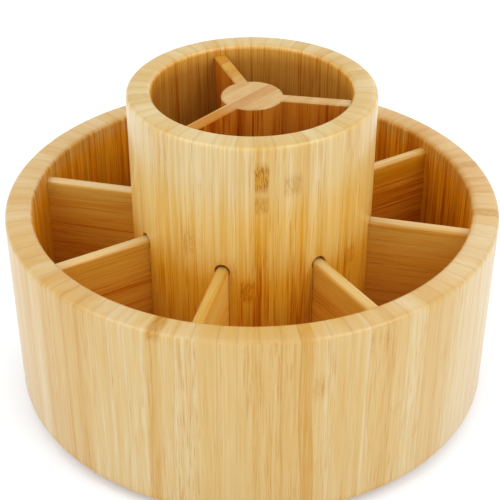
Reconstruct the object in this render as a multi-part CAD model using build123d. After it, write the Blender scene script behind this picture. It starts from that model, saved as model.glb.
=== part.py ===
from build123d import *
import os

# A round bamboo desk box that turns on a ring bearing. Millimetres, +Z up, the table at z = 0
# and the turning axis on Z. The front of the box faces -Y.

# Outer tub
tub_diameter = 200.0
tub_wall_thickness = 11.0
tub_height = 83.0
tub_lift = 3.0
tub_rim_round = 2.2
tub_foot_round = 4.5
floor_thickness = 7.0
floor_lap = 5.0

# Inner cup
cup_diameter = 98.0
cup_wall_thickness = 9.8
cup_rise = 48.0
cup_rim_round = 2.2

# Dividers between the cup and the tub
divider_count = 8
divider_turn = 31.5
divider_thickness = 5.0
divider_drop = 4.9
divider_round = 1.8
groove_depth = 4.5

# Hub with arms inside the cup
arm_count = 3
arm_turn = -10.0
arm_thickness = 5.2
hub_diameter = 24.4
insert_drop = 3.6
insert_edge_bevel = 0.5

# Base and feet
base_diameter = 150.0
base_thickness = 6.0
base_edge_round = 1.5
foot_count = 4
foot_diameter = 16.0
foot_height = 2.0
foot_sink = 1.0
foot_inset = 6.0
foot_edge_round = 0.8

# Ring bearing
bearing_pitch_diameter = 100.0
bearing_height = 8.0
race_width = 8.8
race_gap = 2.4
race_offset = 0.6
race_edge_round = 0.5
ball_diameter = 5.0
ball_count = 24

# Screws
race_screw_count = 4
race_screw_turn = 9.0
race_screw_diameter = 3.5
race_screw_head = 6.4
race_screw_length = 12.0
cup_screw_count = 4
cup_screw_turn = 54.0
cup_screw_diameter = 3.5
cup_screw_head = 7.0
cup_screw_length = 25.0
hub_screw_diameter = 4.5
hub_screw_head = 9.0
hub_screw_length = 30.0
base_screw_count = 4
base_screw_turn = 45.0
base_screw_diameter = 4.0
base_screw_head = 7.5
base_screw_length = 12.0
head_rim = 0.4
head_sink = 0.2
recess_span = 3.2
recess_slot = 0.9
recess_depth = 1.2

# Clearances
floor_play = 0.1
insert_play = 0.15
groove_play = 0.2
groove_top_play = 0.9
groove_end_play = 0.2
divider_end_play = 0.15
foot_play = 0.1
ball_play = 0.1
pocket_play = 0.1
cage_side_play = 0.4
cage_end_play = 0.5
screw_play = 0.05
cut_margin = 1.0

# Levels, from the table up
base_bottom = foot_height
base_top = base_bottom + base_thickness
floor_bottom = base_top + bearing_height
floor_top = floor_bottom + floor_thickness
ball_level = (base_top + floor_bottom) / 2
tub_rim = tub_lift + tub_height
divider_top = tub_rim - divider_drop
cup_rim = tub_rim + cup_rise
insert_top = cup_rim - insert_drop

# Radii
tub_outer = tub_diameter / 2
tub_inner = tub_outer - tub_wall_thickness
floor_seat = tub_inner + floor_lap
cup_outer = cup_diameter / 2
cup_inner = cup_outer - cup_wall_thickness
groove_bottom = cup_outer - groove_depth
cup_screw_circle = (cup_inner + cup_outer) / 2
pitch_radius = bearing_pitch_diameter / 2
ball_radius = ball_diameter / 2
track_radius = ball_radius + ball_play
inner_race_outer = pitch_radius - race_gap / 2
inner_race_inner = inner_race_outer - race_width
outer_race_inner = pitch_radius + race_gap / 2
outer_race_outer = outer_race_inner + race_width
base_screw_circle = (inner_race_inner + pitch_radius - track_radius) / 2
race_screw_circle = (outer_race_outer + pitch_radius + track_radius) / 2
base_radius = base_diameter / 2
foot_circle = base_radius - foot_inset - foot_diameter / 2

# Screw sizes: diameter, head, length and length of the point
race_screw_size = (race_screw_diameter, race_screw_head, race_screw_length, race_screw_diameter)
cup_screw_size = (cup_screw_diameter, cup_screw_head, cup_screw_length, cup_screw_diameter)
hub_screw_size = (hub_screw_diameter, hub_screw_head, hub_screw_length, hub_screw_diameter)
base_screw_size = (base_screw_diameter, base_screw_head, base_screw_length, 0)


def turned(corners, rounds=()):
    """An outline of (radius, height) corners revolved about Z, with some corners rounded."""
    outline = make_face(Polyline(*corners, close=True))
    for corner, radius in rounds:
        nearest = outline.vertices().sort_by_distance((*corner, 0))[0]
        outline = fillet(nearest, radius)
    return revolve(Plane.XZ * outline, Axis.Z)


def disc(radius, bottom, top):
    """A round plate about Z between two levels."""
    plate = Cylinder(radius, top - bottom, align=(Align.CENTER, Align.CENTER, Align.MIN))
    return Pos(0, 0, bottom) * plate


def around(shape, count, radius, turn=0.0):
    """Copies of a shape on a circle about Z, each turned to face outwards."""
    return [place * shape for place in PolarLocations(radius, count, turn)]


def screw_blank(diameter, head, length, point):
    """A countersunk screw that points up, with its head's face at z = 0 and nothing cut into it."""
    shank = diameter / 2
    neck = head_rim + head / 2 - shank
    corners = [(0, 0), (head / 2, 0), (head / 2, head_rim), (shank, neck), (shank, length - point)]
    corners.append((0, length))
    if not point:
        corners[-2:] = [(shank, length), (0, length)]
    return turned(corners)


def screw(diameter, head, length, point):
    """A screw with the cross recess for its driver."""
    cross = Rectangle(recess_span, recess_slot) + Rectangle(recess_slot, recess_span)
    recess = extrude(Pos(0, 0, -cut_margin) * cross, recess_depth + cut_margin)
    return screw_blank(diameter, head, length, point) - recess


def screw_hole(diameter, head, length, point):
    """The hole that a screw goes into, open below its head."""
    room = 2 * screw_play
    shaft = screw_blank(diameter + room, head + room, length + screw_play, point)
    return shaft + disc(head / 2 + screw_play, -cut_margin, head_rim)


def race_screws(make):
    """Screws, or holes for them, that hold the outer race up against the floor."""
    start = base_top + race_offset + head_sink
    shape = Pos(0, 0, start) * make(*race_screw_size)
    return around(shape, race_screw_count, race_screw_circle, race_screw_turn)


def cup_screws(make):
    """Screws, or holes for them, that hold the cup down on the floor."""
    start = floor_bottom + head_sink
    shape = Pos(0, 0, start) * make(*cup_screw_size)
    return around(shape, cup_screw_count, cup_screw_circle, cup_screw_turn)


def hub_screw(make):
    """The screw, or the hole for it, that holds the hub down on the floor."""
    return Pos(0, 0, floor_bottom + head_sink) * make(*hub_screw_size)


def base_screws(make):
    """Screws, or holes for them, that hold the inner race down on the base."""
    start = base_bottom + head_sink
    shape = Pos(0, 0, start) * make(*base_screw_size)
    return around(shape, base_screw_count, base_screw_circle, base_screw_turn)


def make_tub_wall():
    """The outer wall, with a step inside its foot that takes the floor from below."""
    skirt = tub_outer - floor_seat
    rim_round = min(tub_rim_round, tub_wall_thickness * 0.45)
    foot_round = min(tub_foot_round, skirt * 0.8)
    outer_foot = (tub_outer, tub_lift)
    outer_rim = (tub_outer, tub_rim)
    inner_rim = (tub_inner, tub_rim)
    corners = [outer_foot, outer_rim, inner_rim, (tub_inner, floor_top), (floor_seat, floor_top)]
    corners.append((floor_seat, tub_lift))
    return turned(corners, [(outer_foot, foot_round), (outer_rim, rim_round), (inner_rim, rim_round)])


def make_tub_floor():
    """The floor board, drilled for the screws of the cup, the hub and the outer race."""
    board = disc(floor_seat - floor_play, floor_bottom, floor_top)
    return board - cup_screws(screw_hole) - race_screws(screw_hole) - hub_screw(screw_hole)


def make_groove():
    """The cut of a round cutter in the cup's outside, at the +X side: straight sides and a round top."""
    width = divider_thickness + 2 * groove_play
    arch = divider_top + groove_top_play - width / 2
    slot = Pos(0, (floor_top - cut_margin + arch) / 2) * Rectangle(width, arch - floor_top + cut_margin)
    slot += Pos(0, arch) * Circle(width / 2)
    return Pos(groove_bottom, 0, 0) * extrude(Plane.YZ * slot, groove_depth + cut_margin)


def make_inner_cup():
    """The tall tube in the middle, grooved for the dividers and drilled for its screws."""
    rim_round = min(cup_rim_round, cup_wall_thickness * 0.45)
    outer_rim = (cup_outer, cup_rim)
    inner_rim = (cup_inner, cup_rim)
    corners = [(cup_inner, floor_top), (cup_outer, floor_top), outer_rim, inner_rim]
    tube = turned(corners, [(outer_rim, rim_round), (inner_rim, rim_round)])
    return tube - around(make_groove(), divider_count, 0, divider_turn) - cup_screws(screw_hole)


def make_divider():
    """One board at the +X side, from the cup's groove to the tub's wall, its top edges rounded."""
    height = divider_top - floor_top
    section = Pos(0, floor_top + height / 2) * Rectangle(divider_thickness, height)
    section = fillet(section.vertices().group_by(Axis.Y)[-1], min(divider_round, divider_thickness * 0.45))
    start = groove_bottom + groove_end_play
    board = Pos(start, 0, 0) * extrude(Plane.YZ * section, tub_inner - start)
    return board & disc(tub_inner - divider_end_play, floor_top, divider_top)


def make_cup_insert():
    """The hub and its arms, cut from one block, that part the cup's inside."""
    arm = Rectangle(cup_inner, arm_thickness, align=(Align.MIN, Align.CENTER))
    outline = Circle(hub_diameter / 2) + around(arm, arm_count, 0, arm_turn)
    outline &= Circle(cup_inner - insert_play)
    block = extrude(Pos(0, 0, floor_top) * outline, insert_top - floor_top)
    block = chamfer(block.faces().sort_by(Axis.Z)[-1].edges(), insert_edge_bevel)
    return block - hub_screw(screw_hole)


def make_race(inner, outer, bottom, top):
    """One ring of the bearing, with half of the ball track cut into it."""
    corners = [(inner, bottom), (outer, bottom), (outer, top), (inner, top)]
    ring = turned(corners, [(corner, race_edge_round) for corner in corners])
    return ring - Pos(0, 0, ball_level) * Torus(pitch_radius, track_radius)


def make_outer_race():
    """The ring under the floor, which clears the base by the offset."""
    ring = make_race(outer_race_inner, outer_race_outer, base_top + race_offset, floor_bottom)
    return ring - race_screws(screw_hole)


def make_inner_race():
    """The ring on the base, which clears the floor by the offset, tapped for the base's screws."""
    ring = make_race(inner_race_inner, inner_race_outer, base_top, floor_bottom - race_offset)
    tapping = disc(base_screw_diameter / 2 + screw_play, base_bottom, floor_bottom)
    return ring - around(tapping, base_screw_count, base_screw_circle, base_screw_turn)


def make_ball_cage():
    """The thin ring that keeps the balls apart, with one pocket for each."""
    half_width = race_gap / 2 - cage_side_play
    bottom = base_top + cage_end_play
    top = floor_bottom - cage_end_play
    ring = disc(pitch_radius + half_width, bottom, top) - disc(pitch_radius - half_width, bottom, top)
    pocket = Pos(0, 0, ball_level) * Rot(0, 90, 0) * Cylinder(ball_radius + pocket_play, race_gap)
    return ring - around(pocket, ball_count, pitch_radius)


def make_bearing_balls():
    """The balls that run between the two rings."""
    return around(Pos(0, 0, ball_level) * Sphere(ball_radius), ball_count, pitch_radius)


def make_base_disc():
    """The round board under the bearing, drilled for its screws and sunk for its feet."""
    low_edge = (base_radius, base_bottom)
    high_edge = (base_radius, base_top)
    edge_round = min(base_edge_round, base_thickness * 0.45)
    corners = [(0, base_bottom), low_edge, high_edge, (0, base_top)]
    board = turned(corners, [(low_edge, edge_round), (high_edge, edge_round)])
    foot_seat = disc(foot_diameter / 2 + foot_play, base_bottom - cut_margin, base_bottom + foot_sink)
    return board - around(foot_seat, foot_count, foot_circle) - base_screws(screw_hole)


def make_rubber_foot():
    """One pad at the +X side, let into the base, its lower edge rounded."""
    low_edge = (foot_diameter / 2, 0)
    top = foot_height + foot_sink
    corners = [(0, 0), low_edge, (foot_diameter / 2, top), (0, top)]
    return Pos(foot_circle, 0, 0) * turned(corners, [(low_edge, min(foot_edge_round, foot_height * 0.8))])


nodes = {
    "tub_wall": make_tub_wall(),
    "tub_floor": make_tub_floor(),
    "inner_cup": make_inner_cup(),
    "cup_insert": make_cup_insert(),
    "cup_screws": Compound(cup_screws(screw)),
    "hub_screw": hub_screw(screw),
    "outer_race": make_outer_race(),
    "outer_race_screws": Compound(race_screws(screw)),
    "ball_cage": make_ball_cage(),
    "bearing_balls": Compound(make_bearing_balls()),
    "inner_race": make_inner_race(),
    "base_disc": make_base_disc(),
    "base_screws": Compound(base_screws(screw)),
}
for number, board in enumerate(around(make_divider(), divider_count, 0, divider_turn), 1):
    nodes[f"divider_{number}"] = board
for number, pad in enumerate(around(make_rubber_foot(), foot_count, 0), 1):
    nodes[f"rubber_foot_{number}"] = pad

os.makedirs("parts", exist_ok=True)
for name, shape in nodes.items():
    export_step(shape, f"parts/{name}.step")
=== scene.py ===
"""The looks of a round bamboo desk box that turns on a ring bearing.

Everything is in metres, in the frame of its solids. Materials work in millimetres.
"""
import math
from collections import namedtuple

import bpy
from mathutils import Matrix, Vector


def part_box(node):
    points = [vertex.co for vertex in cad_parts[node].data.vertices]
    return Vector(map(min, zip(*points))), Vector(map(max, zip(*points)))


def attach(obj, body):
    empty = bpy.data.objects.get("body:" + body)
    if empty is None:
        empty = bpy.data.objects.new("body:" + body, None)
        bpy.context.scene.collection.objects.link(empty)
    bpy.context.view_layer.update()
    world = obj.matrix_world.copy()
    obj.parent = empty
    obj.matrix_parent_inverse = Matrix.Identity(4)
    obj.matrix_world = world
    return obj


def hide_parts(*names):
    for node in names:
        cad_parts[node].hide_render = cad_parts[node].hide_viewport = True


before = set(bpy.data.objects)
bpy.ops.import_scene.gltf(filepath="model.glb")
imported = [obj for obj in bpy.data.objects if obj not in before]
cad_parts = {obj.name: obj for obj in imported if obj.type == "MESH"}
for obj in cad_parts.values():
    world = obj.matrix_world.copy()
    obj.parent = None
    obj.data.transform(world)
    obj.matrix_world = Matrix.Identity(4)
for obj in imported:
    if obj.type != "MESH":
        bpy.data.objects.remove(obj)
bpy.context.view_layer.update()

MM = 0.001

# Sizes that boxes cannot give, as in the solids
tub_wall = 11.0 * MM
tub_rim_round = 2.2 * MM
tub_foot_round = 4.5 * MM
floor_play = 0.1 * MM
cup_wall = 9.8 * MM
cup_rim_round = 2.2 * MM
divider_count = 8
divider_turn = math.radians(31.5)
divider_thickness = 5.0 * MM
divider_round = 1.8 * MM
divider_end_play = 0.15 * MM
groove_depth = 4.5 * MM
groove_play = 0.2 * MM
groove_top_play = 0.9 * MM
groove_end_play = 0.2 * MM

# Sizes that the frame gives
tub_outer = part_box("tub_wall")[1][0]
tub_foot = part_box("tub_wall")[0][2]
tub_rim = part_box("tub_wall")[1][2]
floor_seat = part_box("tub_floor")[1][0] + floor_play
floor_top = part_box("tub_floor")[1][2]
cup_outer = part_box("inner_cup")[1][0]
cup_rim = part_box("inner_cup")[1][2]
divider_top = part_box("divider_1")[1][2]
hub_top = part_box("cup_insert")[1][2]

# Fine edges that the scene adds, and how finely its shapes are cut
seat_edge_round = 0.5 * MM
groove_ease = 0.7 * MM
cut_margin = 1.0 * MM
tub_sides = 320
cup_sides = 256
corner_steps = 6
arch_steps = 10
crease_angle = math.radians(40.0)

# Camera, from the rims' outlines in the photograph
camera_target = (-0.8 * MM, 0.0, tub_foot + 55.0 * MM)
camera_distance = 513.9 * MM
camera_elevation = math.radians(33.52)
camera_lens = 87.7
camera_sensor = 36.0


class Value:
    """One output of a node. Sums written on it add Math nodes to its tree."""

    def __init__(self, tree, socket):
        self.tree = tree
        self.socket = socket

    def __add__(self, other):
        return self.tree.math("ADD", self, other)

    def __sub__(self, other):
        return self.tree.math("SUBTRACT", self, other)

    def __rsub__(self, other):
        return self.tree.math("SUBTRACT", other, self)

    def __mul__(self, other):
        return self.tree.math("MULTIPLY", self, other)

    def __truediv__(self, other):
        return self.tree.math("DIVIDE", self, other)

    def __neg__(self):
        return self.tree.math("MULTIPLY", self, -1.0)

    __radd__ = __add__
    __rmul__ = __mul__


class Tree:
    """A node tree, of a material or of a geometry modifier, with one method that adds any node."""

    def __init__(self, tree):
        self.tree = tree

    def add(self, kind, settings=None, inputs=None, output=0):
        """Add a node, set its settings, then feed its sockets, and give one of its outputs."""
        node = self.tree.nodes.new(kind)
        for name, setting in (settings or {}).items():
            if name == "cases":
                while len(node.index_switch_items) < setting:
                    node.index_switch_items.new()
            else:
                setattr(node, name, setting)
        self.feed(node, inputs or {})
        return Value(self, node.outputs[output])

    def feed(self, node, inputs):
        """Link or set a node's sockets. A list links several values to one socket."""
        for key, value in inputs.items():
            for single in value if isinstance(value, list) else [value]:
                if isinstance(single, Value):
                    self.tree.links.new(single.socket, node.inputs[key])
                else:
                    node.inputs[key].default_value = single

    def math(self, operation, *terms):
        return self.add("ShaderNodeMath", {"operation": operation}, dict(enumerate(terms)))

    def vector(self, x, y, z):
        return self.add("ShaderNodeCombineXYZ", None, {0: x, 1: y, 2: z})

    def in_millimetres(self, vector):
        """A vector of metres, in millimetres."""
        inputs = {0: vector, "Scale": 1 / MM}
        return self.add("ShaderNodeVectorMath", {"operation": "SCALE"}, inputs)

    def parts(self, vector):
        """The three numbers of a vector."""
        split = self.add("ShaderNodeSeparateXYZ", None, {0: vector})
        return [Value(self, socket) for socket in split.socket.node.outputs]

    def mix(self, factor, first, second, blend="MIX"):
        """One colour turned into another by a factor from zero to one."""
        settings = {"data_type": "RGBA", "blend_type": blend, "clamp_factor": True}
        return self.add("ShaderNodeMix", settings, {0: factor, 6: first, 7: second}, 2)

    def tinted(self, base, tint):
        """A colour under a clear tint."""
        return self.mix(1.0, base, tint, "MULTIPLY")

    def ramp(self, value, low, high):
        """Zero before low and one past high, smooth between. Low may be the greater."""
        settings = {"interpolation_type": "SMOOTHSTEP"}
        inputs = {"Value": value, "From Min": low, "From Max": high}
        return self.add("ShaderNodeMapRange", settings, inputs)

    def noise(self, vector, detail=2.0, roughness=0.5):
        inputs = {"Vector": vector, "Scale": 1.0, "Detail": detail, "Roughness": roughness}
        return self.add("ShaderNodeTexNoise", None, inputs)


def colour(red, green, blue):
    """A colour from its 0 to 255 screen values, as the linear values that shaders take."""
    linear = []
    for level in (red, green, blue):
        part = level / 255
        linear.append(part / 12.92 if part <= 0.04045 else ((part + 0.055) / 1.055) ** 2.4)
    return (*linear, 1.0)


def new_material(name):
    """A material with a bare Principled surface: its tree and the surface's node."""
    material = bpy.data.materials.new(name)
    material.use_nodes = True
    return material, Tree(material.node_tree), material.node_tree.nodes["Principled BSDF"]


def object_place(tree):
    """The surface point in the object's frame, in millimetres, as three numbers."""
    return tree.parts(tree.in_millimetres(tree.add("ShaderNodeTexCoord", None, None, "Object")))


# From where to where a face turns level, by the upright part of its normal
level_slope = (0.55, 0.9)


def level_face(tree):
    """One on faces that look up or down, where upright grain shows its ends."""
    normal = tree.add("ShaderNodeNewGeometry", None, None, "Normal")
    return tree.ramp(tree.math("ABSOLUTE", tree.parts(normal)[2]), *level_slope)


def from_axis(tree, x, y):
    """The distance from the axis that the box turns on."""
    return tree.math("SQRT", x * x + y * y)


# How the bamboo lies in each piece. A grain gives the place of a surface point in the wood:
#   across, along  lengths across the strips and along the fibres, in millimetres
#   section        two lengths across the fibres, which tell one fibre from the next
#   ends           one where the fibres' ends show
#    painted_shade_and_tone   one where painted shade deepens the tint, and on the boards their deeper tone
#    warm           one where the lacquer has its warm tint
#    painted_shading_and_streaks   one where painted shade, painted light and brown streaks lie over the colour
#   strength       how strongly the fibres show
#   coat           how much of the lacquer's gloss there is

# How slowly the marks on a top change along its streaks, and how far strips are turned from X
rim_stretch = 0.15
insert_stretch = 0.3
insert_turn = math.radians(50)
board_turn = math.radians(12)

# The dividers are cut from one long plank: the steps between them across and along its grain,
# in millimetres, and the numbers of those with a tone of their own. The lit board's paler faces
# are painted light.
board_spacing = 90.0
board_shift = 210.0
lit_board = 5
first_board = 0
last_board = divider_count - 1


def stave_grain(tree, outer, wall):
    """Upright staves round the axis, with streaks that cross a rim straight.

    Gives the place, one on the inner face, the distance from the axis and the height.
    """
    x, y, z = object_place(tree)
    radius = from_axis(tree, x, y)
    across = tree.math("ARCTAN2", y, x) * (outer / MM)
    inner = (outer - wall) / MM
    inside = 1.0 - tree.ramp(radius, inner + 0.1, inner + 1.2)
    section = (across, radius * rim_stretch)
    place = {"across": across, "along": z, "section": section, "ends": level_face(tree)}
    return place, inside, radius, z


def tub_grain(tree):
    """The tub's staves. The inner face is painted amber as painted shade, more so below the rim,
    browner low down as painted shade, and with brown streaks.

    The foot's rounding is painted amber as painted shade. The foot and the inner face have little
    gloss.
    """
    place, inside, _, z = stave_grain(tree, tub_outer, tub_wall)
    rim = tub_rim / MM
    ground = tub_foot / MM
    foot = tree.ramp(z, ground + 6.0, ground + 1.0)
    below_rim = tree.ramp(z, rim - 1.0, rim - 11.0)
    low_down = tree.ramp(z, rim - 4.0, rim - 50.0)
    streaks = tree.noise(tree.vector(place["across"] / 1.8, 0.0, z / 110.0))
    # Painted shade: amber on the inner face, fuller below the rim, and on the foot's rounding.
    place["painted_shade_and_tone"] = tree.math("MAXIMUM", inside * (0.5 + 0.5 * below_rim), foot * 0.4)
    # Painted shade browns the inner face low down, and brown streaks lie over it.
    place["painted_shading_and_streaks"] = inside * (low_down * 0.25 + tree.ramp(streaks, 0.44, 0.66) * 0.55)
    place["coat"] = 1.0 - foot * 0.7 - inside * 0.8
    return place


def cup_grain(tree):
    """The cup's staves. The inside and the grooves are painted amber and brown as painted shade.

    Outside it goes from straw at the rim to gold, then to amber as painted shade where the tub
    shelters it.
    """
    place, inside, radius, z = stave_grain(tree, cup_outer, cup_wall)
    rim = cup_rim / MM
    shelter = tub_rim / MM
    outer = cup_outer / MM
    # Painted shade: amber and brown inside and in the grooves, amber where the tub shelters the
    # outside.
    below_rim = tree.ramp(z, rim - 6.0, rim - 8.0)
    groove = tree.ramp(radius, outer - 0.1, outer - 0.4) * below_rim * (1.0 - inside)
    sheltered = tree.ramp(z, shelter + 5.0, shelter - 15.0)
    inside = inside * 0.8
    place["warm"] = tree.ramp(z, rim - 8.0, shelter)
    place["painted_shade_and_tone"] = tree.math("MAXIMUM", inside + groove, sheltered)
    place["painted_shading_and_streaks"] = inside * tree.ramp(z, rim + 1.0, rim - 9.0) + groove
    place["coat"] = 1.0 - groove
    return place


def divider_grain(tree):
    """Level grain along each divider, from the place and the number stored on its points.

    The top edge keeps a pale tint as a painted highlight, the faces below take the warm tint and
    darken downwards as painted shade, and the lit board's faces are paled as painted light.
    """
    grain = tree.add("ShaderNodeAttribute", {"attribute_name": "grain"}, None, "Vector")
    along, depth, height = tree.parts(grain)
    board = tree.add("ShaderNodeAttribute", {"attribute_name": "board"}, None, "Fac")
    across = height + board * board_spacing
    along = along + board * board_shift
    top = divider_top / MM
    # Painted light: the lit board's faces are paled below the top edge.
    pale = 1.0 - tree.ramp(tree.math("ABSOLUTE", board - lit_board), 0.1, 0.4)
    # Painted shade: the faces darken downwards from the top.
    painted_shade_and_tone = tree.ramp(height, top - 1.0, top - 20.0)
    return {
        "across": across, "along": along, "section": (depth, across), "ends": 0.0, "painted_shade_and_tone": painted_shade_and_tone,
        # The top edge keeps the plain tint as a painted highlight.
        "warm": tree.ramp(height, top - 0.05, top - 0.8),
        "painted_shading_and_streaks": pale * tree.ramp(height, top - 0.5, top - 2.5),
        "strength": 1.5 + painted_shade_and_tone * 0.4,
    }


def turned_place(x, y, turn):
    """Lengths along and across a grain that is turned from X."""
    along = x * math.cos(turn) + y * math.sin(turn)
    across = y * math.cos(turn) - x * math.sin(turn)
    return along, across


def insert_grain(tree):
    """Upright strips of the block that the insert is cut from.

    The tone is light on its top. Painted shade warms the arms outwards and deepens its sides.
    """
    x, y, z = object_place(tree)
    length, across = turned_place(x, y, insert_turn)
    top = hub_top / MM
    # Painted shade: the arms warm outwards, towards the cup's wall, and the sides deepen below the
    # top.
    arms = tree.ramp(from_axis(tree, x, y), 10.0, 22.0) * tree.ramp(across, -16.0, -8.0)
    return {
        "across": across, "along": z, "section": (across, length * insert_stretch),
        "ends": level_face(tree), "painted_shade_and_tone": tree.ramp(z, top - 0.2, top - 1.2),
        "warm": arms, "coat": 1.0 - arms * 0.6,
    }


def board_grain(tree):
    """Level strips of the floor and the base, with little gloss."""
    x, y, z = object_place(tree)
    along, across = turned_place(x, y, board_turn)
    return {
        "across": across, "along": along, "section": (across, z), "ends": 0.0, "painted_shade_and_tone": 0.2,
        "coat": 0.3,
    }


# Marks of the bamboo, in millimetres: the width and length of each kind
broad_marks = (5.0, 200.0)
streak_marks = (1.1, 70.0)
fibre_marks = (0.5, 26.0)
hair_marks = (0.36, 13.0)
patch_marks = (6.0, 60.0)
dash_marks = (0.45, 2.4)

# Strips of the bamboo, in millimetres, with the seams between them and the nodes of chance
strip_sway = 5.0
sway_pace_across = 0.02
sway_pace_along = 0.012
strip_unevenness = 0.8
strip_shift_along = 900.0
strip_shift_aside = 70.0
seam_core = 0.02
seam_width = 0.3
end_seam_growth = 0.5
node_pitch = 230.0
node_reach = (2.0, 8.0)
node_chance = (0.72, 0.78)

# How much of each mark shows in the colour, and how much gloss a node takes away
hair_share = 0.5
seam_share = 0.18
node_share = 0.7
dash_share = 0.7
node_dulling = 0.7

# The depth of tone that strips and fibres vary about, what the shade and deep-tone mask takes off
# it, and how much more the strips differ at their ends
resting_depth = 0.36
dark_lift = 0.08
end_spread = 0.15

# Colours of the bamboo, and the tint that browns it as painted shade and in streaks
pale_straw = colour(231, 207, 158)
full_straw = colour(224, 186, 112)
pale_honey = colour(210, 152, 20)
full_honey = colour(190, 122, 12)
pale_hair = colour(200, 138, 6)
full_hair = colour(176, 108, 4)
seam_brown = colour(150, 92, 30)
node_gold = colour(206, 144, 12)
dash_brown = colour(150, 86, 2)
brown_tint = (0.56, 0.43, 0.36, 1.0)

# A strip of known place: its middle across the grain, width, blur, depth of tone and nodes
Strip = namedtuple("Strip", "middle width blur depth nodes", defaults=[()])
# The mark of a node on a strip: its place along the grain, reach and strength
Node = namedtuple("Node", "height reach strength")


def lay_strips(tree, place, seed, strip_width):
    """The strips that a piece is glued from, which sway a little along the grain.

    Gives the place across them, the seams between them, and three chance numbers of each strip.
    """
    side, deep = place["section"]
    length = place["along"] * sway_pace_along + seed
    swaying = tree.vector(side * sway_pace_across, deep * sway_pace_across, length)
    across = place["across"] + (tree.noise(swaying, 1.0) - 0.5) * strip_sway
    strip = across / strip_width + seed
    inputs = {"W": strip, "Scale": 1.0, "Randomness": strip_unevenness}
    own = {"voronoi_dimensions": "1D", "feature": "F1"}
    chances = tree.add("ShaderNodeTexVoronoi", own, inputs, "Color")
    between = {"voronoi_dimensions": "1D", "feature": "DISTANCE_TO_EDGE"}
    edge = tree.add("ShaderNodeTexVoronoi", between, inputs)
    width = seam_width + place["ends"] * end_seam_growth
    seam = 1.0 - tree.ramp(edge * strip_width, seam_core, width)
    return across, seam, tree.parts(chances)


def mark_strips(tree, place, across, lean, node, features):
    """Give the strips of known place their own depth of tone and nodes, over those of chance."""
    for strip in features:
        half = strip.width / 2
        off = tree.math("ABSOLUTE", across - strip.middle)
        band = 1.0 - tree.ramp(off, half - strip.blur, half + strip.blur)
        lean = lean * (1.0 - band) + band * strip.depth
        node = node * (1.0 - band)
        for height, reach, strength in strip.nodes:
            gap = tree.math("ABSOLUTE", place["along"] - height)
            node = node + band * (1.0 - tree.ramp(gap, reach * 0.3, reach)) * strength
    return lean, node


def lacquer_over(tree, gold, place, tint, shade_and_tone_tint, warm_tint, end_tint, shading_and_streak_tint):
    """The bamboo's colour under its lacquer, with tints of painted shade and painted light laid
    over it.
    """
    lacquer = tint
    if warm_tint:
        lacquer = tree.mix(place["warm"], tint, warm_tint)
    lacquer = tree.mix(place["painted_shade_and_tone"], lacquer, shade_and_tone_tint)
    if end_tint:
        lacquer = tree.mix(place["ends"], lacquer, tree.tinted(lacquer, end_tint))
    gold = tree.tinted(gold, lacquer)
    if "painted_shading_and_streaks" in place:
        gold = tree.mix(place["painted_shading_and_streaks"], gold, tree.tinted(gold, shading_and_streak_tint))
    return gold


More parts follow.
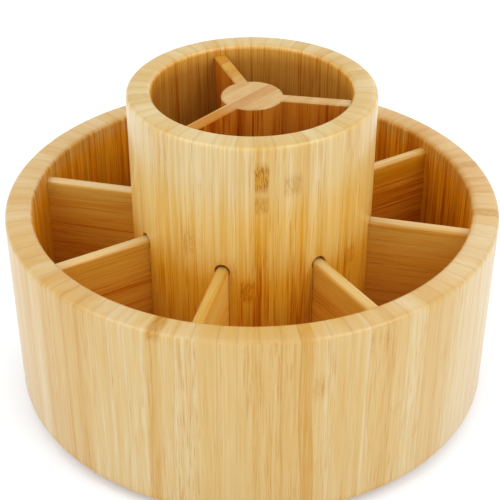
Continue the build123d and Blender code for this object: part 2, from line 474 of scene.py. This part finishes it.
def bamboo(
        name, grain, seed, strip_width, spread, contrast, knots, tint, shade_and_tone_tint,
        warm_tint=None, end_tint=None, shading_and_streak_tint=brown_tint, features=()):
    """Laminated bamboo under satin lacquer: strips of their own tone, long fibres and nodes.

    Spread is how far the strips' tones differ, contrast how much the fibres show, and knots how
    strong the nodes of chance are. Features are the strips of known place.
    """
    material, tree, surface = new_material(name)
    place = grain(tree)
    painted_shade_and_tone = place["painted_shade_and_tone"]
    ends = place["ends"]
    across, seam, (tone, shift, luck) = lay_strips(tree, place, seed, strip_width)
    along = place["along"] + shift * strip_shift_along
    side, deep = place["section"]
    side = side + shift * strip_shift_aside

    def marks(kind, detail=2.0, roughness=0.5):
        width, length = kind
        spot = tree.vector(side / width, deep / width, along / length)
        return tree.noise(spot, detail, roughness)

    past_node = tree.math("MODULO", along, node_pitch)
    from_node = tree.math("ABSOLUTE", past_node - node_pitch / 2)
    node = (1.0 - tree.ramp(from_node, *node_reach)) * tree.ramp(luck, *node_chance) * knots
    lean = (tone - 0.5) * (spread + ends * end_spread)
    lean, node = mark_strips(tree, place, across, lean, node, features)

    broad = marks(broad_marks)
    streak = marks(streak_marks)
    fibre = marks(fibre_marks, 3.0, 0.6)
    hair = tree.ramp(marks(hair_marks, 1.0), 0.55, 0.66)
    patch = tree.ramp(marks(patch_marks, 1.0), 0.42, 0.62)
    hair = hair * patch * (1.0 - ends)
    dash = tree.ramp(marks(dash_marks), 0.48, 0.58)

    fine = (streak - 0.5) * 0.6 + (fibre - 0.5) * (0.8 + painted_shade_and_tone * 0.4)
    wave = (broad - 0.5) * 0.7 + fine * (1.0 - ends * 0.6)
    strength = contrast * place.get("strength", 1.0 + painted_shade_and_tone)
    depth = resting_depth - painted_shade_and_tone * dark_lift + lean + wave * strength
    straw = tree.mix(tree.ramp(depth, 0.0, 0.42), pale_straw, full_straw)
    honey = tree.mix(painted_shade_and_tone, pale_honey, full_honey)
    gold = tree.mix(tree.ramp(depth, 0.35, 0.95), straw, honey)
    hair_gold = tree.mix(painted_shade_and_tone, pale_hair, full_hair)
    gold = tree.mix(hair * contrast * hair_share, gold, hair_gold)
    gold = tree.mix(seam * seam_share, gold, seam_brown)
    gold = tree.mix(node * node_share, gold, node_gold)
    gold = tree.mix(node * dash * dash_share, gold, dash_brown)
    gold = lacquer_over(tree, gold, place, tint, shade_and_tone_tint, warm_tint, end_tint, shading_and_streak_tint)

    relief = fibre * 0.5 - hair * 0.5 - seam * (0.5 - ends * 0.45)
    bump = {"Strength": 0.05, "Distance": 0.08 * MM, "Height": relief}
    tree.feed(surface, {
        "Base Color": gold,
        "Roughness": 0.42 + (fibre - 0.5) * 0.2,
        "Normal": tree.add("ShaderNodeBump", None, bump, "Normal"),
        "Specular IOR Level": 0.0,
        "Coat Weight": place.get("coat", 1.0) * (1.0 - node * node_dulling),
        "Coat Roughness": 0.28,
        "Coat IOR": 1.6,
    })
    return material


# The size of the soft patches on a plain finish, in millimetres
cloud_size = 14.0


def simple_finish(name, tint, shade, grain, roughness, metallic=0.0):
    """A plain finish whose tone and roughness vary with a fine grain, its size in millimetres."""
    material, tree, surface = new_material(name)
    x, y, z = object_place(tree)
    speck = tree.noise(tree.vector(x / grain, y / grain, z / grain), 3.0, 0.6)
    cloud = tree.noise(tree.vector(x / cloud_size, y / cloud_size, z / cloud_size))
    bump = {"Strength": 0.15, "Distance": 0.05 * MM, "Height": speck}
    tree.feed(surface, {
        "Base Color": tree.mix(tree.ramp(speck * 0.6 + cloud * 0.4, 0.35, 0.65), tint, shade),
        "Roughness": roughness + (speck - 0.5) * 0.15,
        "Normal": tree.add("ShaderNodeBump", None, bump, "Normal"),
        "Metallic": metallic,
    })
    return material


class Shaper(Tree):
    """A geometry tree with named size inputs, which makes one piece."""

    def __init__(self, name, sizes):
        super().__init__(bpy.data.node_groups.new(name, "GeometryNodeTree"))
        self.name = name
        self.sizes = sizes
        face = self.tree.interface
        face.new_socket("Geometry", in_out="OUTPUT", socket_type="NodeSocketGeometry")
        self.keys = {}
        for size, value in sizes.items():
            kind = "NodeSocketInt" if isinstance(value, int) else "NodeSocketFloat"
            socket = face.new_socket(size, in_out="INPUT", socket_type=kind)
            self.keys[size] = socket.identifier
        entry = self.tree.nodes.new("NodeGroupInput")
        self.size = {size: Value(self, entry.outputs[size]) for size in sizes}

    def pick(self, kind, values):
        """One of several values, by the index of the point."""
        inputs = {"Index": self.add("GeometryNodeInputIndex")}
        inputs.update({place + 1: value for place, value in enumerate(values)})
        settings = {"data_type": kind, "cases": len(values)}
        return self.add("GeometryNodeIndexSwitch", settings, inputs)

    def outline(self, corners, steps):
        """A closed curve through (x, y, rounding) corners."""
        spots = self.pick("VECTOR", [self.vector(x, y, 0.0) for x, y, _ in corners])
        inputs = {"Count": len(corners), "Position": spots}
        points = self.add("GeometryNodePoints", None, inputs)
        curve = self.add("GeometryNodePointsToCurves", None, {0: points})
        ring = self.add("GeometryNodeSetSplineCyclic", None, {0: curve, "Cyclic": True})
        rounds = self.pick("FLOAT", [rounding for _, _, rounding in corners])
        inputs = {"Curve": ring, "Count": steps, "Radius": rounds, "Limit Radius": True}
        return self.add("GeometryNodeFilletCurve", {"mode": "POLY"}, inputs)

    def turned(self, corners, sides):
        """A ring turned about Z from (radius, level, rounding) corners.

        They are given clockwise from the outer rim.
        """
        reach = corners[0][0]
        flat = [(radius - reach, -level, rounding) for radius, level, rounding in corners]
        profile = self.outline(flat, corner_steps)
        circle = {"Resolution": sides, "Radius": reach}
        path = self.add("GeometryNodeCurvePrimitiveCircle", None, circle)
        inputs = {"Curve": path, "Profile Curve": profile}
        return self.add("GeometryNodeCurveToMesh", None, inputs)

    def bar(self, corners, start, end, steps=corner_steps, level=0.0, flare=1.0):
        """A bar along X whose (y, z, rounding) section is swept from start to end, its ends closed.

        The section's heights are from the given level, and it grows about it to flare at the end.
        """
        profile = self.outline([(-y, -z, rounding) for y, z, rounding in corners], steps)
        line = {"Start": self.vector(start, 0.0, level), "End": self.vector(end, 0.0, level)}
        path = self.add("GeometryNodeCurvePrimitiveLine", None, line)
        growth = self.pick("FLOAT", [1.0, flare])
        inputs = {"Curve": path, "Profile Curve": profile, "Scale": growth, "Fill Caps": True}
        return self.add("GeometryNodeCurveToMesh", None, inputs)

    def around(self, geometry, count, turn):
        """Copies of a geometry turned evenly about Z."""
        still = {"Count": count, "Offset": (0.0, 0.0, 0.0)}
        points = self.add("GeometryNodeMeshLine", None, still)
        angle = self.add("GeometryNodeInputIndex") * (2 * math.pi) / count + turn
        spin = self.vector(0.0, 0.0, angle)
        inputs = {"Points": points, "Instance": geometry, "Rotation": spin}
        return self.add("GeometryNodeInstanceOnPoints", None, inputs)

    def joined(self, operation, meshes):
        """Two meshes as one solid, or one cut from the other."""
        settings = {"operation": operation, "solver": "EXACT"}
        return self.add("GeometryNodeMeshBoolean", settings, meshes)

    def stored(self, geometry, name, value, kind, domain):
        """A geometry with a value kept on its points or copies."""
        inputs = {"Geometry": geometry, "Name": name, "Value": value}
        settings = {"data_type": kind, "domain": domain}
        return self.add("GeometryNodeStoreNamedAttribute", settings, inputs)

    def realized(self, geometry):
        return self.add("GeometryNodeRealizeInstances", None, {0: geometry})

    def finish(self, geometry, material):
        """Close the tree, run it and give the piece as a plain mesh object."""
        inputs = {"Geometry": self.realized(geometry), "Shade Smooth": True}
        smooth = self.add("GeometryNodeSetShadeSmooth", None, inputs)
        angles = {0: self.add("GeometryNodeInputMeshEdgeAngle"), 1: crease_angle}
        soft = self.add("FunctionNodeCompare", {"operation": "LESS_THAN"}, angles)
        inputs = {"Geometry": smooth, "Shade Smooth": soft}
        creased = self.add("GeometryNodeSetShadeSmooth", {"domain": "EDGE"}, inputs)
        inputs = {"Geometry": creased, "Material": material}
        coated = self.add("GeometryNodeSetMaterial", None, inputs)
        self.feed(self.tree.nodes.new("NodeGroupOutput"), {0: coated})

        maker = bpy.data.objects.new(self.name, bpy.data.meshes.new(self.name))
        bpy.context.scene.collection.objects.link(maker)
        modifier = maker.modifiers.new("shape", "NODES")
        modifier.node_group = self.tree
        for size, key in self.keys.items():
            modifier[key] = self.sizes[size]
        evaluated = maker.evaluated_get(bpy.context.evaluated_depsgraph_get())
        shape = bpy.data.meshes.new_from_object(evaluated)
        maker.modifiers.remove(modifier)
        maker.data = shape
        shape.name = self.name
        shape.materials.clear()
        shape.materials.append(material)
        shape.polygons.foreach_set("material_index", [0] * len(shape.polygons))
        return maker


def make_tub_wall(material):
    """The turned outer wall, with the step that takes the floor."""
    tree = Shaper("tub_wall_turned", {
        "Outer radius": tub_outer, "Wall": tub_wall, "Foot": tub_foot, "Rim": tub_rim,
        "Floor seat": floor_seat, "Floor top": floor_top,
        "Rim round": tub_rim_round, "Foot round": tub_foot_round,
    })
    size = tree.size
    inner = size["Outer radius"] - size["Wall"]
    corners = [
        (size["Outer radius"], size["Rim"], size["Rim round"]),
        (size["Outer radius"], size["Foot"], size["Foot round"]),
        (size["Floor seat"], size["Foot"], seat_edge_round),
        (size["Floor seat"], size["Floor top"], 0.0),
        (inner, size["Floor top"], 0.0),
        (inner, size["Rim"], size["Rim round"]),
    ]
    return tree.finish(tree.turned(corners, tub_sides), material)


def make_inner_cup(material):
    """The turned tube in the middle, its grooves cut by a round cutter and their mouths eased."""
    tree = Shaper("inner_cup_turned", {
        "Outer radius": cup_outer, "Wall": cup_wall, "Foot": floor_top, "Rim": cup_rim,
        "Rim round": cup_rim_round, "Grooves": divider_count, "Turn": divider_turn,
        "Groove width": divider_thickness + 2 * groove_play, "Groove depth": groove_depth,
        "Groove top": divider_top + groove_top_play, "Groove ease": groove_ease,
    })
    size = tree.size
    outer = size["Outer radius"]
    inner = outer - size["Wall"]
    corners = [
        (outer, size["Rim"], size["Rim round"]),
        (outer, size["Foot"], 0.0),
        (inner, size["Foot"], 0.0),
        (inner, size["Rim"], size["Rim round"]),
    ]
    tube = tree.turned(corners, cup_sides)
    half = size["Groove width"] / 2
    arch = size["Groove top"] - half
    below = size["Foot"] - cut_margin - arch
    section = [(-half, below, 0.0), (half, below, 0.0), (half, half, half), (-half, half, half)]
    bottom = outer - size["Groove depth"]
    groove = tree.bar(section, bottom, outer + cut_margin, arch_steps, arch)
    ease = size["Groove ease"]
    disc = [(-half, -half, half), (half, -half, half), (half, half, half), (-half, half, half)]
    flare = 1.0 + ease * 2 / half
    mouth = tree.bar(disc, outer - ease, outer + ease, arch_steps, arch + ease * 0.3, flare)
    cutter = tree.joined("UNION", {"Mesh 2": [groove, mouth]})
    cutters = tree.realized(tree.around(cutter, size["Grooves"], size["Turn"]))
    cut = tree.joined("DIFFERENCE", {"Mesh 1": tube, "Mesh 2": cutters})
    return tree.finish(cut, material)


def make_dividers(material):
    """The boards from the cup's grooves to the tub's wall, each with its own stretch of grain."""
    tree = Shaper("ring_dividers", {
        "Count": divider_count, "Turn": divider_turn, "Thickness": divider_thickness,
        "Bottom": floor_top, "Top": divider_top, "Round": divider_round,
        "Start": cup_outer - groove_depth + groove_end_play,
        "End": tub_outer - tub_wall - divider_end_play,
    })
    size = tree.size
    half = size["Thickness"] / 2
    section = [
        (-half, size["Bottom"], 0.0),
        (half, size["Bottom"], 0.0),
        (half, size["Top"], size["Round"]),
        (-half, size["Top"], size["Round"]),
    ]
    board = tree.bar(section, size["Start"], size["End"])
    place = tree.in_millimetres(tree.add("GeometryNodeInputPosition"))
    board = tree.stored(board, "grain", place, "FLOAT_VECTOR", "POINT")
    boards = tree.around(board, size["Count"], size["Turn"])
    number = tree.add("GeometryNodeInputIndex")
    boards = tree.stored(boards, "board", number, "FLOAT", "INSTANCE")
    return tree.finish(boards, material)


def round_tub(degrees):
    """The place across the tub's grain of a direction seen from its axis."""
    return math.radians(degrees) * tub_outer / MM


def round_cup(degrees):
    """The place across the cup's grain of a direction seen from its axis."""
    return math.radians(degrees) * cup_outer / MM


def on_board(number, height):
    """The place across the grain of a height on one of the dividers."""
    return number * board_spacing + height


# Strips that stand out: on the tub's front, on its right side, and two nodes cut at its rim
tub_features = [
    Strip(round_tub(-133.0), 14.0, 3.0, 0.20),
    Strip(round_tub(-125.6), 6.0, 2.0, -0.10),
    Strip(round_tub(-115.6), 4.5, 1.4, -0.18),
    Strip(round_tub(-111.0), 5.0, 1.0, 0.20, [Node(86.0, 5.0, 0.5)]),
    Strip(round_tub(-107.6), 4.5, 1.0, -0.10),
    Strip(round_tub(-97.0), 14.0, 4.0, 0.04),
    Strip(round_tub(-91.6), 4.0, 1.0, 0.12),
    Strip(round_tub(-85.2), 18.0, 2.5, 0.13),
    Strip(round_tub(-78.5), 5.2, 0.3, 0.36),
    Strip(round_tub(-72.6), 6.0, 1.5, -0.14),
    Strip(round_tub(-67.0), 4.0, 1.5, 0.04),
    Strip(round_tub(-63.4), 4.0, 1.0, -0.08),
    Strip(round_tub(-60.0), 2.0, 0.8, 0.20),
    Strip(round_tub(-54.0), 8.0, 1.0, -0.14),
    Strip(round_tub(-46.8), 1.4, 0.5, 0.20),
    Strip(round_tub(-36.0), 22.0, 5.0, -0.15),
]
right_start = -4.0
right_step = 8.0
right_depths = [0.10, 0.32, 0.22, 0.30, 0.18, 0.32, 0.24]
for place, depth in enumerate(right_depths):
    tub_features.append(Strip(round_tub(right_step * place + right_start), 14.0, 0.8, depth))
rim_node = Node(86.5, 3.0, 0.42)
tub_features += [Strip(round_tub(spot), 6.0, 1.0, 0.06, [rim_node]) for spot in (13.8, -9.5)]

# On the cup
front_nodes = [Node(121.0, 8.0, 1.0), Node(110.0, 5.0, 0.5), Node(88.0, 6.0, 0.12)]
cup_features = [
    Strip(round_cup(-85.6), 5.6, 0.15, 0.17, front_nodes),
    Strip(round_cup(-92.4), 6.0, 0.3, 0.12, [Node(71.0, 7.0, 0.7)]),
    Strip(round_cup(-76.0), 11.0, 0.3, 0.03),
    Strip(round_cup(-71.5), 7.0, 0.3, -0.04, [Node(117.0, 6.0, 0.35)]),
    Strip(round_cup(-38.2), 6.0, 0.3, 0.05, [Node(76.0, 6.0, 0.5)]),
    Strip(round_cup(-50.0), 8.0, 2.5, -0.14),
    Strip(round_cup(-148.0), 26.0, 6.0, -0.16),
]

# On the insert's top and on three of the dividers
insert_features = [
    Strip(-1.9, 5.8, 1.2, 0.44),
    Strip(4.8, 7.0, 0.4, -0.10),
    Strip(-8.4, 6.6, 0.4, -0.08),
    Strip(-15.0, 6.4, 0.4, -0.12),
    Strip(-22.0, 7.4, 0.4, -0.02),
    Strip(11.0, 5.2, 0.4, 0.20),
    Strip(14.6, 2.2, 0.4, -0.10),
    Strip(19.0, 6.6, 0.4, 0.18),
    Strip(23.6, 2.6, 0.4, -0.08),
]
divider_features = [
    # Painted light: the lit board's wide pale strip lightens its lit face.
    Strip(on_board(lit_board, 54.0), 46.0, 4.0, -0.45),
    Strip(on_board(lit_board, 81.0), 3.0, 0.6, 0.20),
    Strip(on_board(last_board, 60.0), 38.0, 3.0, -0.22),
    Strip(on_board(first_board, 57.0), 44.0, 3.0, 0.45),
]

# Finishes
straw_tint = (0.92, 0.88, 0.72, 1.0)
amber_tint = (1.0, 0.62, 0.055, 1.0)
# The deep tints are painted shade, except on the boards, where the deeper tone is their own.
wall_bamboo = bamboo(
    "tub_bamboo", tub_grain, 3.1, strip_width=8.0, spread=0.22, contrast=1.05, knots=0.2,
    tint=(0.765, 0.748, 0.69, 1.0), shade_and_tone_tint=amber_tint,
    end_tint=(0.91, 0.885, 0.865, 1.0), features=tub_features)
cup_bamboo = bamboo(
    "cup_bamboo", cup_grain, 11.7, strip_width=7.0, spread=0.26, contrast=1.2, knots=0.3,
    tint=(0.82, 0.83, 0.775, 1.0), shade_and_tone_tint=(0.99, 0.67, 0.085, 1.0),
    warm_tint=(1.05, 0.97, 0.585, 1.0), end_tint=(0.82, 0.80, 0.71, 1.0), features=cup_features)
# On the dividers the plain tint on the top edge is a painted highlight, and the over tint is
# painted light on the lit board.
divider_bamboo = bamboo(
    "divider_bamboo", divider_grain, 5.3, strip_width=16.0, spread=0.28, contrast=0.95, knots=0.4,
    tint=(0.76, 0.73, 0.60, 1.0), shade_and_tone_tint=(0.88, 0.54, 0.10, 1.0),
    warm_tint=(0.82, 0.62, 0.20, 1.0), shading_and_streak_tint=(1.38, 1.62, 2.2, 1.0),
    features=divider_features)
# The insert's warm tint on its arms is painted shade.
insert_bamboo = bamboo(
    "insert_bamboo", insert_grain, 8.9, strip_width=7.0, spread=0.5, contrast=1.3, knots=0.4,
    tint=(0.66, 0.56, 0.38, 1.0), shade_and_tone_tint=(0.70, 0.31, 0.045, 1.0),
    warm_tint=(0.66, 0.49, 0.13, 1.0), end_tint=straw_tint, features=insert_features)
board_bamboo = bamboo(
    "board_bamboo", board_grain, 2.4, strip_width=18.0, spread=0.34, contrast=1.0, knots=0.4,
    tint=straw_tint, shade_and_tone_tint=amber_tint)
steel = simple_finish(
    "screw_steel", colour(176, 174, 168), colour(150, 148, 142),
    grain=0.5, roughness=0.35, metallic=1.0)
aluminium = simple_finish(
    "race_aluminium", colour(206, 207, 208), colour(186, 187, 190),
    grain=0.4, roughness=0.38, metallic=1.0)
ball_steel = simple_finish(
    "ball_steel", colour(200, 201, 204), colour(186, 187, 190),
    grain=0.6, roughness=0.12, metallic=1.0)
nylon = simple_finish(
    "cage_nylon", colour(232, 229, 216), colour(220, 216, 200), grain=0.6, roughness=0.45)
rubber = simple_finish(
    "foot_rubber", colour(38, 38, 40), colour(24, 24, 26), grain=0.35, roughness=0.75)

cad_finishes = {
    "tub_floor": board_bamboo, "base_disc": board_bamboo, "cup_insert": insert_bamboo,
    "cup_screws": steel, "hub_screw": steel, "outer_race_screws": steel, "base_screws": steel,
    "outer_race": aluminium, "inner_race": aluminium,
    "bearing_balls": ball_steel, "ball_cage": nylon,
    "rubber_foot_1": rubber, "rubber_foot_2": rubber,
    "rubber_foot_3": rubber, "rubber_foot_4": rubber,
}
for node, material in cad_finishes.items():
    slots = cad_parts[node].data.materials
    slots.clear()
    slots.append(material)

# Pieces that stand for the plain solids
tub = make_tub_wall(wall_bamboo)
cup = make_inner_cup(cup_bamboo)
dividers = make_dividers(divider_bamboo)
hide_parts("tub_wall")
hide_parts("inner_cup")
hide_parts(*[f"divider_{number + 1}" for number in range(divider_count)])
for piece in (tub, cup, dividers):
    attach(piece, "box")

# Studio: the floor is cool near the box and white far off, the lamps are soft
floor_reach = 4.0
floor_sides = 96
floor_blend = (250.0, 900.0)
near_paper = (0.79, 0.84, 0.90, 1.0)
far_paper = (0.86, 0.86, 0.86, 1.0)
near_glow = (0.67, 0.67, 0.67, 1.0)
white = (1.0, 1.0, 1.0, 1.0)
glow_strength = 0.24
lamp_target = (0.0, 0.0, 0.06)


def make_floor():
    """A wide pale floor that stays near white, with only a soft shadow under the box."""
    bpy.ops.mesh.primitive_circle_add(
        vertices=floor_sides, radius=floor_reach, fill_type="NGON")
    floor = bpy.context.object
    floor.name = "studio_floor"
    material, tree, surface = new_material("studio_floor")
    x, y, _ = object_place(tree)
    far = tree.ramp(from_axis(tree, x, y), *floor_blend)
    tree.feed(surface, {
        "Base Color": tree.mix(far, near_paper, far_paper),
        "Roughness": 0.8,
        "Specular IOR Level": 0.1,
        "Emission Color": tree.mix(far, near_glow, white),
        "Emission Strength": glow_strength,
    })
    floor.data.materials.append(material)


def make_light(name, place, size, power):
    """A soft square lamp that looks, along its -Z, at the middle of the box."""
    lamp = bpy.data.lights.new(name, "AREA")
    lamp.size = size
    lamp.energy = power
    holder = bpy.data.objects.new(name, lamp)
    holder.location = place
    sight = Vector(lamp_target) - holder.location
    holder.rotation_euler = sight.to_track_quat("-Z", "Y").to_euler()
    bpy.context.scene.collection.objects.link(holder)


def make_camera():
    """The camera at the photograph's distance, height and lens."""
    lens = bpy.data.cameras.new("photo_camera")
    lens.lens = camera_lens
    lens.sensor_width = camera_sensor
    holder = bpy.data.objects.new("photo_camera", lens)
    x, y, z = camera_target
    back = camera_distance * math.cos(camera_elevation)
    holder.location = (x, y - back, z + camera_distance * math.sin(camera_elevation))
    holder.rotation_euler = (math.pi / 2 - camera_elevation, 0.0, 0.0)
    bpy.context.scene.collection.objects.link(holder)
    bpy.context.scene.camera = holder


def make_world():
    """Even white light from all round."""
    world = bpy.data.worlds.new("studio")
    world.use_nodes = True
    background = world.node_tree.nodes["Background"]
    background.inputs["Color"].default_value = white
    background.inputs["Strength"].default_value = 1.0
    bpy.context.scene.world = world
    bpy.context.scene.view_settings.view_transform = "Standard"


make_floor()
make_camera()
make_light("key", place=(1.0, -0.6, 1.3), size=1.0, power=7.5)
make_light("fill", place=(-0.95, -0.45, 1.3), size=1.0, power=5.5)
make_light("back_right", place=(0.75, 1.3, 0.85), size=1.0, power=2.3)
make_light("top", place=(0.0, 0.1, 1.6), size=1.2, power=2.0)
make_world()
